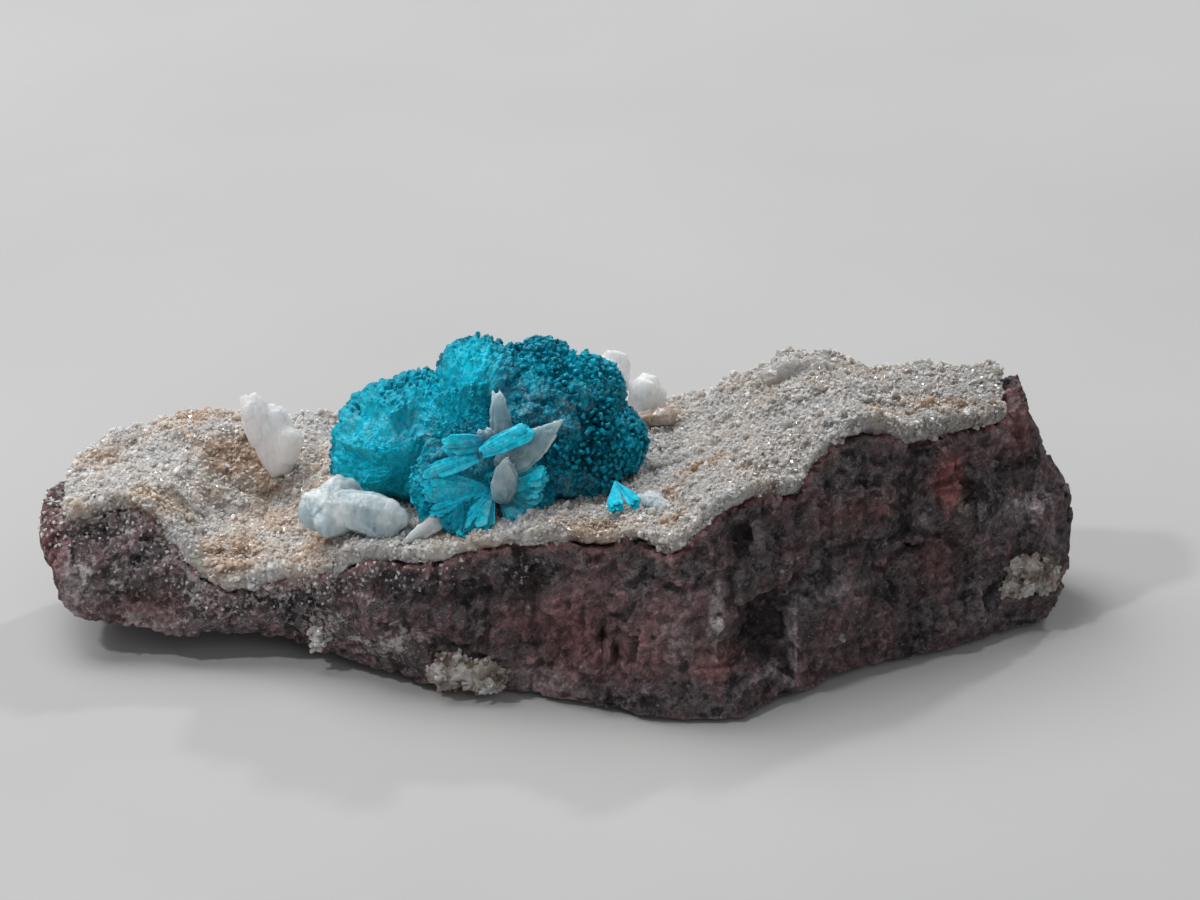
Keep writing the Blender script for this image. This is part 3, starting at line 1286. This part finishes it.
body = skinned(solid_copy("cavansite_body", "cavansite_rosettes"), voxel=0.17, smoothing=4)
roots = body.data.attributes.new("root", "FLOAT_VECTOR", "POINT")
roots.data.foreach_set("vector", (nearest_roots(corners(body)) * MM).ravel().astype(np.float32))
paint(body, open=np.clip(spots(corners(body), OPEN_MARKS), 0, 1))
BLADE_RELIEF = blade_relief_tree()
for blade_share, height, stand_off in ((0.34, 0.4, -0.1), (0.13, 0.5, 0.05), (0.06, 0.35, -0.1)):
    run_tree(body, BLADE_RELIEF, blade_share=blade_share, height=height, stand_off=stand_off)
paint(body, along=BODY_ALONG)
lit_and_dusted(body)
finished(body, CAVANSITE, "cavansite", "cavansite_rosettes")

# %% [markdown]
# The free ends of the blades, the fans and the single wide crystals of the rosette are grown over it.

# %% Grow the cavansite's blades
ball_blade = crystal("ball_blade", 4, ((0.0, 0.6), (0.9, 1.0), (1.0, 0.3)), flatness=0.6)
fan_blade = crystal("fan_blade", 4, ((0.0, 0.2), (0.94, 1.0), (1.0, 0.4)), flatness=0.35)
slab = crystal("cavansite_slab", 6, ((0.0, 0.5), (0.4, 1.0), (0.92, 0.85), (1.0, 0.4)), flatness=0.4)
tips = run_tree(ball_guide.as_object("cavansite_tips"), BLADES, pattern=ball_blade, material=CAVANSITE,
                spacing=0.6, narrowest=0.4, widest=1.0, shortest=0.99, longest=1.06, start=0.84,
                twist=1.0, seed=3)
lit_and_dusted(tips)
finished(tips, CAVANSITE, "cavansite")
fans = run_tree(fan_guide.as_object("cavansite_fans"), BLADES, pattern=fan_blade, material=CAVANSITE,
                spacing=0.22, narrowest=0.35, widest=0.9, shortest=0.84, longest=1.04, start=0.02,
                twist=0.3, seed=5)
finished(fans, CAVANSITE, "cavansite")
sprig = run_tree(sprig_guide.as_object("cavansite_sprig_blades"), BLADES, pattern=fan_blade,
                 material=CAVANSITE, spacing=0.2, narrowest=0.35, widest=0.7, shortest=0.8, longest=1.05,
                 start=0.02, twist=0.3, seed=6)
finished(sprig, CAVANSITE, "cavansite", "cavansite_sprig")

# %% [markdown]
# A single crystal is a few blades that grow nearly parallel, from a root far behind its foot. They start
# at the foot instead of at the root.

# %% Grow the single crystals


def grown_sheaf(name, laths, pattern, material, spread=0.5, behind=1.5, **sizes):
    """Nearly parallel blades for each lath: foot, tip, width, thickness, tone."""
    guide = Guide()
    for foot, tip, width, thickness, tone in laths:
        root = Vector(foot) + (Vector(foot) - Vector(tip)) * behind
        guide.add_fan(root, tip, spread * width / 2, spread * thickness / 2, tone)
    usual = {"spacing": 0.5, "shortest": 0.93, "longest": 1.0, "twist": 0.25, "seed": 9}
    return run_tree(guide.as_object(name), BLADES, pattern=pattern, material=material,
                    start=behind / (1 + behind), **(usual | sizes))


slabs = grown_sheaf("cavansite_slabs", SLABS, slab, CAVANSITE, spread=0.75, behind=1.0,
                    spacing=0.3, narrowest=0.45, widest=1.1, shortest=0.84, twist=0.5)
finished(slabs, CAVANSITE, "cavansite")

# %% [markdown]
# ## The stilbite
#
# Stilbite forms flat milky tablets with a pearly shine, stacked in a sheaf that is nearly parallel. They
# grow as the cavansite's single crystals do.

# %% Sizes of the laths
# Each piece: its habit, then its laths as foot, tip, width, thickness, tone from bluish 0 to white 1
STILBITES = {
    "stilbite_left_blade": ("tablet", [
        ((-25.0, 8.2, 12.6), (-28.0, 7.8, 20.3), 3.2, 2.0, 1.0),
        ((-24.6, 8.6, 12.6), (-25.4, 8.4, 18.9), 3.2, 2.0, 1.0),
        ((-24.4, 8.0, 13.4), (-23.6, 8.0, 16.9), 2.2, 1.8, 1.0),
    ]),
    "stilbite_back_pair": ("tablet", [
        ((3.6, 13.0, 14.6), (5.0, 12.8, 22.2), 4.2, 2.4, 1.0),
        ((7.0, 12.4, 14.6), (8.1, 12.0, 20.2), 3.4, 2.6, 1.0),
        ((1.4, 12.6, 14.6), (2.4, 12.6, 20.8), 3.4, 2.2, 1.0),
    ]),
    "stilbite_front_sheaf": ("lump", [
        ((-17.4, -4.4, 14.3), (-23.2, -5.2, 14.7), 4.4, 2.8, 0.42),
        ((-18.0, -4.4, 14.6), (-21.2, -7.4, 13.8), 3.0, 2.2, 0.42),
        ((-18.2, -3.9, 13.4), (-19.8, -3.6, 17.2), 4.2, 2.4, 0.45),
        ((-18.8, -5.6, 15.2), (-12.6, -7.4, 14.5), 3.4, 2.6, 0.4),
    ]),
    "stilbite_front_lath": ("leaf", [((-9.6, -7.4, 15.4), (-14.4, -9.6, 12.6), 1.7, 1.1, 0.5)]),
    "stilbite_spike": ("spike", [
        ((-4.6, -3.2, 18.8), (-5.5, -4.0, 26.3), 2.5, 1.6, 0.2),
        ((-5.4, -3.2, 18.8), (-6.8, -5.4, 23.0), 2.1, 1.4, 0.2),
    ]),
    "stilbite_leaf": ("leaf", [((-4.4, -6.6, 19.6), (0.9, -7.2, 24.3), 2.9, 1.0, 0.16)]),
    "stilbite_plate": ("leaf", [((-4.8, -6.9, 16.8), (-4.0, -8.4, 22.0), 2.4, 1.0, 0.25)]),
    "stilbite_right_sprig": ("leaf", [
        ((6.6, -5.6, 15.4), (10.9, -8.0, 16.0), 1.9, 1.2, 0.5),
        ((7.4, -5.4, 15.2), (9.4, -6.4, 17.4), 1.5, 1.0, 0.5),
    ]),
}
print(sum(len(laths) for habit, laths in STILBITES.values()), "laths in", len(STILBITES), "pieces")

# %% [markdown]
# There are four habits: a broad tablet with a straight end, a rounded lump, a leaf that is widest
# below its middle and ends in a point, and a spike that narrows all the way. A voxel skin melts a
# sheaf's blades into one closed body, so light can scatter through it without dark inner walls.

# %% Finish and grow the stilbite


def stilbite_finish():
    """Stilbite: milky, pearly laths that let light in."""
    material, tree, surface, place = new_finish("stilbite_pearly")
    tone = painted_shares(tree, "tone")[0]
    clouds = clouded(tree, place, 2.5, detail=4.0)
    milk = maths(tree, "MULTIPLY_ADD", clouds, 1.0, maths(tree, "SUBTRACT", tone, 0.25))
    tint = ramped(tree, milk, (0.15, "#557e8a"), (0.45, "#92abb2"), (0.75, "#c6d1d4"), (1.05, "#fbfbfb"))
    lengthwise = vectors(tree, "MULTIPLY", place, (1.0, 1.0, 0.25))
    grooves = clouded(tree, lengthwise, 0.5, detail=4.0)
    veins = mapped(tree, grooves, (0.35, 0.65), to=(0.88, 1.08))
    veined = scaled(tree, tint, veins)
    bump = bumped(tree, grooves, 0.6, 0.2)
    wire(tree, surface, {"Base Color": veined, "Roughness": 0.25, "IOR": 1.5, "Normal": bump,
                         "Subsurface Weight": 1.0, "Subsurface Radius": (1.0, 1.0, 1.0),
                         "Subsurface Scale": 2.0 * MM})
    return material


STILBITE = stilbite_finish()
# Habits: sides, rings, flatness, how much broader its blades are than its laths, and how far it is melted
HABITS = {
    "tablet": (6, ((0.0, 0.8), (0.86, 1.0), (1.0, 0.5)), 0.34, 1.0, 2),
    "lump": (8, ((0.0, 0.6), (0.3, 0.95), (0.75, 1.0), (0.94, 0.75), (1.0, 0.4)), 0.6, 1.1, 9),
    "leaf": (6, ((0.0, 0.6), (0.35, 1.0), (0.7, 0.75), (1.0, 0.08)), 0.3, 1.5, 2),
    "spike": (6, ((0.0, 1.0), (0.4, 0.85), (0.9, 0.4), (1.0, 0.1)), 0.6, 1.3, 2),
}
HABIT_PATTERNS = {habit: crystal("stilbite_" + habit, *shape[:3]) for habit, shape in HABITS.items()}


def widest(laths):
    return max(width for foot, tip, width, thickness, tone in laths)


for node, (habit, laths) in STILBITES.items():
    broader, melting = HABITS[habit][3:]
    wide = widest(laths) * broader
    sheaf = grown_sheaf(node + "_sheaf", laths, HABIT_PATTERNS[habit], STILBITE,
                        narrowest=0.45 * wide, widest=0.7 * wide)
    skinned(sheaf, voxel=0.09, smoothing=melting)
    run_tree(sheaf, RELIEF, swell_size=2.2, swell_height=0.3, chip_size=1.8, chip_tilt=0.14,
             grain_size=0.5, grain_height=0.06)
    paint(sheaf, tone=sum(lath[4] for lath in laths) / len(laths))
    finished(sheaf, STILBITE, "stilbite", node, smooth=True)

# %% [markdown]
# ## Larger crystals of the crust
#
# A few zeolite crystals of the crust grew to several millimetres: a pale block on its skyline at the
# right, and a tan lump behind the largest ball. They take the crust's finish.

# %% Grow the larger crystals
# Each piece: how stained it is, its habit, then its laths as the stilbites' are
LARGER_CRYSTALS = {
    "drusy_crust_block": (-0.4, "tablet", [
        ((18.4, 8.8, 20.6), (21.8, 8.6, 22.4), 3.0, 2.4, 0.0),
        ((20.2, 8.8, 20.8), (24.0, 8.6, 22.1), 2.8, 2.4, 0.0),
    ]),
    "drusy_crust_lump": (0.6, "lump", [((7.2, 10.0, 16.2), (11.0, 10.2, 16.5), 2.0, 1.8, 0.0)]),
}
for name, (stained, habit, laths) in LARGER_CRYSTALS.items():
    wide = widest(laths)
    block = grown_sheaf(name, laths, HABIT_PATTERNS[habit], DRUSE, narrowest=0.5 * wide, widest=0.8 * wide)
    skinned(block, voxel=0.12, smoothing=1)
    run_tree(block, RELIEF, swell_size=1.5, swell_height=0.3, chip_size=0.8, chip_tilt=0.3,
             grain_size=0.4, grain_height=0.1)
    paint(block, stain=stained)
    finished(block, DRUSE, "drusy_crust")

# %% [markdown]
# ## The white patches
#
# Calcite and zeolite fill a few hollows of the broken face. They are duller and greyer than the crust.

# %% Finish and grow the patches


def patch_finish():
    """Calcite and zeolite in broken rock: waxy, grey-white, stained."""
    material, tree, surface, place = new_finish("calcite_waxy")
    clouds = clouded(tree, place, 1.6, detail=5.0)
    tint = ramped(tree, clouds, (0.34, "#64564c"), (0.46, "#928981"), (0.62, "#bdbab7"), (0.72, "#dedfe2"))
    wire(tree, surface, {"Base Color": tint, "Roughness": 0.4, "IOR": 1.5,
                         "Subsurface Weight": 0.3, "Subsurface Scale": 0.8 * MM})
    return material


CALCITE = patch_finish()
PATCHES = {"calcite_front_patch": CALCITE, "calcite_front_knob": DRUSE, "zeolite_right_patch": CALCITE}
for node, material in PATCHES.items():
    name = node.replace("patch", "druse").replace("knob", "bead")
    lump = skinned(solid_copy(name, node), voxel=0.14, smoothing=2)
    run_tree(lump, RELIEF, stand_off=0.1, swell_size=1.5, swell_height=0.5, chip_size=1.0, chip_tilt=0.9,
             grain_size=0.4, grain_height=0.15)
    sparks = crystals_on(node + "_crystals", lump.data, material, pattern=sugar_grain, spacing=0.5,
                         smallest=0.25, largest=0.7, lean=0.9, lowest_slope=-0.8, sink=-0.2, seed=27)
    finished(lump, material, "white_zeolite", node)
    finished(sparks, material, "white_zeolite")

# %% [markdown]
# ## Hand over
#
# The model crystals that the trees copied are removed, and the two boxes are written down side by side:
# the dressed specimen keeps to the size of the solids.

# %% Check the size and finish
for pattern in (sugar_grain, druse_crystal, ball_blade, fan_blade, slab, *HABIT_PATTERNS.values()):
    bpy.data.objects.remove(pattern)
visual_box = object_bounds()
for label, (low, high) in (("CAD", cad_box), ("visual", visual_box)):
    print(label, "box in mm:", [round(c / MM, 1) for c in low], [round(c / MM, 1) for c in high])
